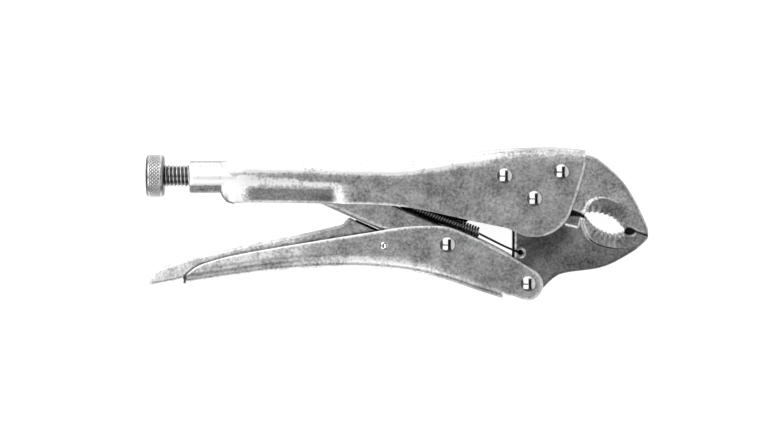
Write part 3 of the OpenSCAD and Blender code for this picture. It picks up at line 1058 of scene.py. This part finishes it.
def return_spring():
    """A coil whose front leg ends in an eye in the jaw's hole, and whose rear leg ends at the tab
    in the upper handle."""
    wire_r, coil_r, pitch, coil_l = 0.55, 2.35, 1.42, 35.5
    slope = math.radians(21.6)
    back = np.array([-math.cos(slope), math.sin(slope)])
    front = np.array([40.9, -4.7])
    turns = round(coil_l / pitch) - 0.5
    steps = int(turns * 20)
    a = np.linspace(0, 2 * math.pi * turns, steps)
    side = np.array([-back[1], back[0]])
    centre = front + back * (a / (2 * math.pi) * pitch)[:, None]
    coil = np.column_stack([
        centre + side * (coil_r * np.sin(a))[:, None],
        coil_r * np.cos(a),
    ])
    leg_z = JAW_HALF + wire_r + 0.1
    hook = np.array([SPRING_HOLE[0] - 1.1, SPRING_HOLE[1] + 0.5])
    leg_from = coil[0]
    curl = np.linspace(0, 4 * math.pi, 37)[::-1]
    eye_r = 1.25 - curl * 0.075
    eye = np.column_stack([
        SPRING_HOLE[0] - eye_r * np.cos(curl), SPRING_HOLE[1] + eye_r * np.sin(curl),
        leg_z - 1.9 - curl * 0.25
    ])
    lead = np.array([
        [*(hook + [0.12, -0.1]), leg_z - 1.2], [*(hook - [0.3, -0.13]), leg_z - 0.3],
        [*(hook - [1.0, -0.45]), leg_z], [*(hook - [7.0, -3.0]), leg_z - 0.1],
        [leg_from[0] + 4, leg_from[1] - 2.0, coil_r + 1.6],
        [leg_from[0] + 1, leg_from[1] - 0.6, coil_r + 0.2],
    ])
    rear = coil[-1]
    anchor = SPRING_ANCHOR
    tail = np.array([
        [rear[0] - 1.2, rear[1] + 0.5, rear[2]], [rear[0] - 4, rear[1] + 1.6, 2.0],
        [anchor[0] + 1.6, anchor[1] - 0.6, 1.9], [*anchor, 1.2], [*anchor, -1.4],
    ])
    path = np.concatenate([eye, smooth(lead, 5), coil, smooth(tail, 5)])
    points, faces = tube(path, wire_r, 10)

    # Painted shade: the front leg and its eye are painted darker than the coil.
    def tone(p):
        return 0.1 + 0.9 * (1 - ease((p[:, 0] - front[0] + 0.3) / 0.8))

    made = piece("return_spring_wire", points, faces, None, "return_spring", SPRING_METAL, 80, tone)
    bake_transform(made)


# ---- Floor, light and camera ----

def floor():
    """A pale table that also glows a little by itself."""
    size, under = 6, -0.0002
    mesh = bpy.data.meshes.new("floor")
    corners = [(-size, -size), (size, -size), (size, size), (-size, size)]
    mesh.from_pydata([(x, y, under) for x, y in corners], [], [(0, 1, 2, 3)])
    made = bpy.data.objects.new("floor", mesh)
    bpy.context.scene.collection.objects.link(made)
    m = bpy.data.materials.new("pale_floor")
    m.use_nodes = True
    shader = m.node_tree.nodes["Principled BSDF"]
    shader.inputs["Base Color"].default_value = (0.4, 0.4, 0.4, 1)
    shader.inputs["Roughness"].default_value = 0.9
    shader.inputs["Specular IOR Level"].default_value = 0.0
    shader.inputs["Emission Color"].default_value = (1, 1, 1, 1)
    shader.inputs["Emission Strength"].default_value = 0.9
    mesh.materials.append(m)


def key_light():
    """One weak soft light from above, beyond the upper handle, aimed at the tool."""
    light = bpy.data.lights.new("key", "AREA")
    light.shape = "RECTANGLE"
    light.size, light.size_y = 0.9, 0.6
    light.energy = 2
    made = bpy.data.objects.new("key", light)
    made.location = (-0.6, 0.9, 1.0)
    made.rotation_euler = (-made.location).to_track_quat("-Z", "Y").to_euler()
    bpy.context.scene.collection.objects.link(made)


BRIGHT, UPPER, LOW, SIDE = 2.6, 2.4, 1.2, 1.1
HORIZON, RIM, DARK = 0.25, 0.12, 0.02


def sky():
    """A studio tent: bright all round, with a dark gap to the right of straight above.

    x, y and z are the parts of the direction. Each step has the two values of one of them
    between which the strength goes over from one part of the tent to the next."""
    world = bpy.data.worlds.new("studio")
    bpy.context.scene.world = world
    world.use_nodes = True
    tree = world.node_tree
    tree.nodes.clear()
    link = tree.links.new
    place = tree.nodes.new("ShaderNodeTexCoord")
    split = tree.nodes.new("ShaderNodeSeparateXYZ")
    link(place.outputs["Generated"], split.inputs["Vector"])
    x, y, z = split.outputs

    def math_of(operation, a, b=0.0):
        made = node_of(tree, "ShaderNodeMath", operation=operation)
        for socket, value in zip(made.inputs, (a, b)):
            if isinstance(value, (int, float)):
                socket.default_value = value
            else:
                link(value, socket)
        return made.outputs[0]

    def step_of(value, low, high):
        made = node_of(tree, "ShaderNodeMapRange", interpolation_type="SMOOTHSTEP")
        made.inputs["From Min"].default_value = low
        made.inputs["From Max"].default_value = high
        link(value, made.inputs["Value"])
        return made.outputs[0]

    def less(value):
        return math_of("SUBTRACT", 1.0, value)

    def mixed(a, b, share):
        return math_of("ADD", a, math_of("MULTIPLY", math_of("SUBTRACT", b, a), share))

    tent = mixed(LOW, BRIGHT, step_of(z, 0.4, 0.6))
    tent = mixed(tent, UPPER, math_of("MULTIPLY", step_of(y, 0.12, 0.4), step_of(z, 0.1, 0.2)))
    right = step_of(x, -0.05, 0.06)
    far_right = step_of(x, 0.48, 0.66)
    rim = math_of("MAXIMUM", less(step_of(x, -0.8, -0.62)), less(step_of(y, -0.86, -0.7)))
    aside = step_of(math_of("ABSOLUTE", math_of("ADD", y, 0.05)), 0.75, 1.0)
    gap = math_of("MULTIPLY", math_of("MULTIPLY", right, less(far_right)), less(aside))
    seam = less(step_of(math_of("ABSOLUTE", math_of("ADD", y, 0.06)), 0.07, 0.16))
    seam = math_of("MULTIPLY", math_of("MULTIPLY", seam, less(right)), step_of(z, 0.3, 0.5))
    tent = mixed(tent, SIDE, far_right)
    tent = mixed(tent, DARK, math_of("MAXIMUM", gap, seam))
    tent = mixed(tent, RIM, rim)
    tent = mixed(tent, HORIZON, less(step_of(z, 0.14, 0.3)))
    glow = tree.nodes.new("ShaderNodeBackground")
    link(tent, glow.inputs["Strength"])
    out = tree.nodes.new("ShaderNodeOutputWorld")
    link(glow.outputs["Background"], out.inputs["Surface"])


TILT, DISTANCE = math.radians(4.5), 2
AIM, VIEW_WIDTH = (-4.35, 3.35, MID_Z + 4), 388.5


def camera():
    """Above the tool and a little towards the upper handle, looking down."""
    data = bpy.data.cameras.new("camera")
    made = bpy.data.objects.new("camera", data)
    bpy.context.scene.collection.objects.link(made)
    bpy.context.scene.camera = made
    aim = Vector(AIM) * MM
    place = aim + DISTANCE * Vector((0, math.sin(TILT), math.cos(TILT)))
    made.location = place
    back = (place - aim).normalized()
    right = Vector((1, 0, 0))
    up = back.cross(right)
    made.rotation_euler = Matrix((right, up, back)).transposed().to_euler()
    data.sensor_width = 36
    data.lens = data.sensor_width * DISTANCE / (VIEW_WIDTH * MM)
    data.clip_start, data.clip_end = 0.01, 20


upper_handle()
rolled_tube()
spring_tab()
painted_shade_strips()
fixed_jaw()
jaw_gap_shades()
moving_jaw()
lower_handle()
toggle_link()
release_lever()
adjusting_screw()
screw_knob()
for node, body in {
    "rear_jaw_rivet": "fixed_handle", "front_jaw_rivet": "fixed_handle",
    "jaw_pivot_rivet": "fixed_handle", "handle_pivot_rivet": "moving_handle",
    "link_rivet": "moving_handle",
}.items():
    rivet(node, body)
lever_pin()
return_spring()
floor()
sky()
key_light()
camera()
bpy.context.scene.view_settings.view_transform = "Standard"
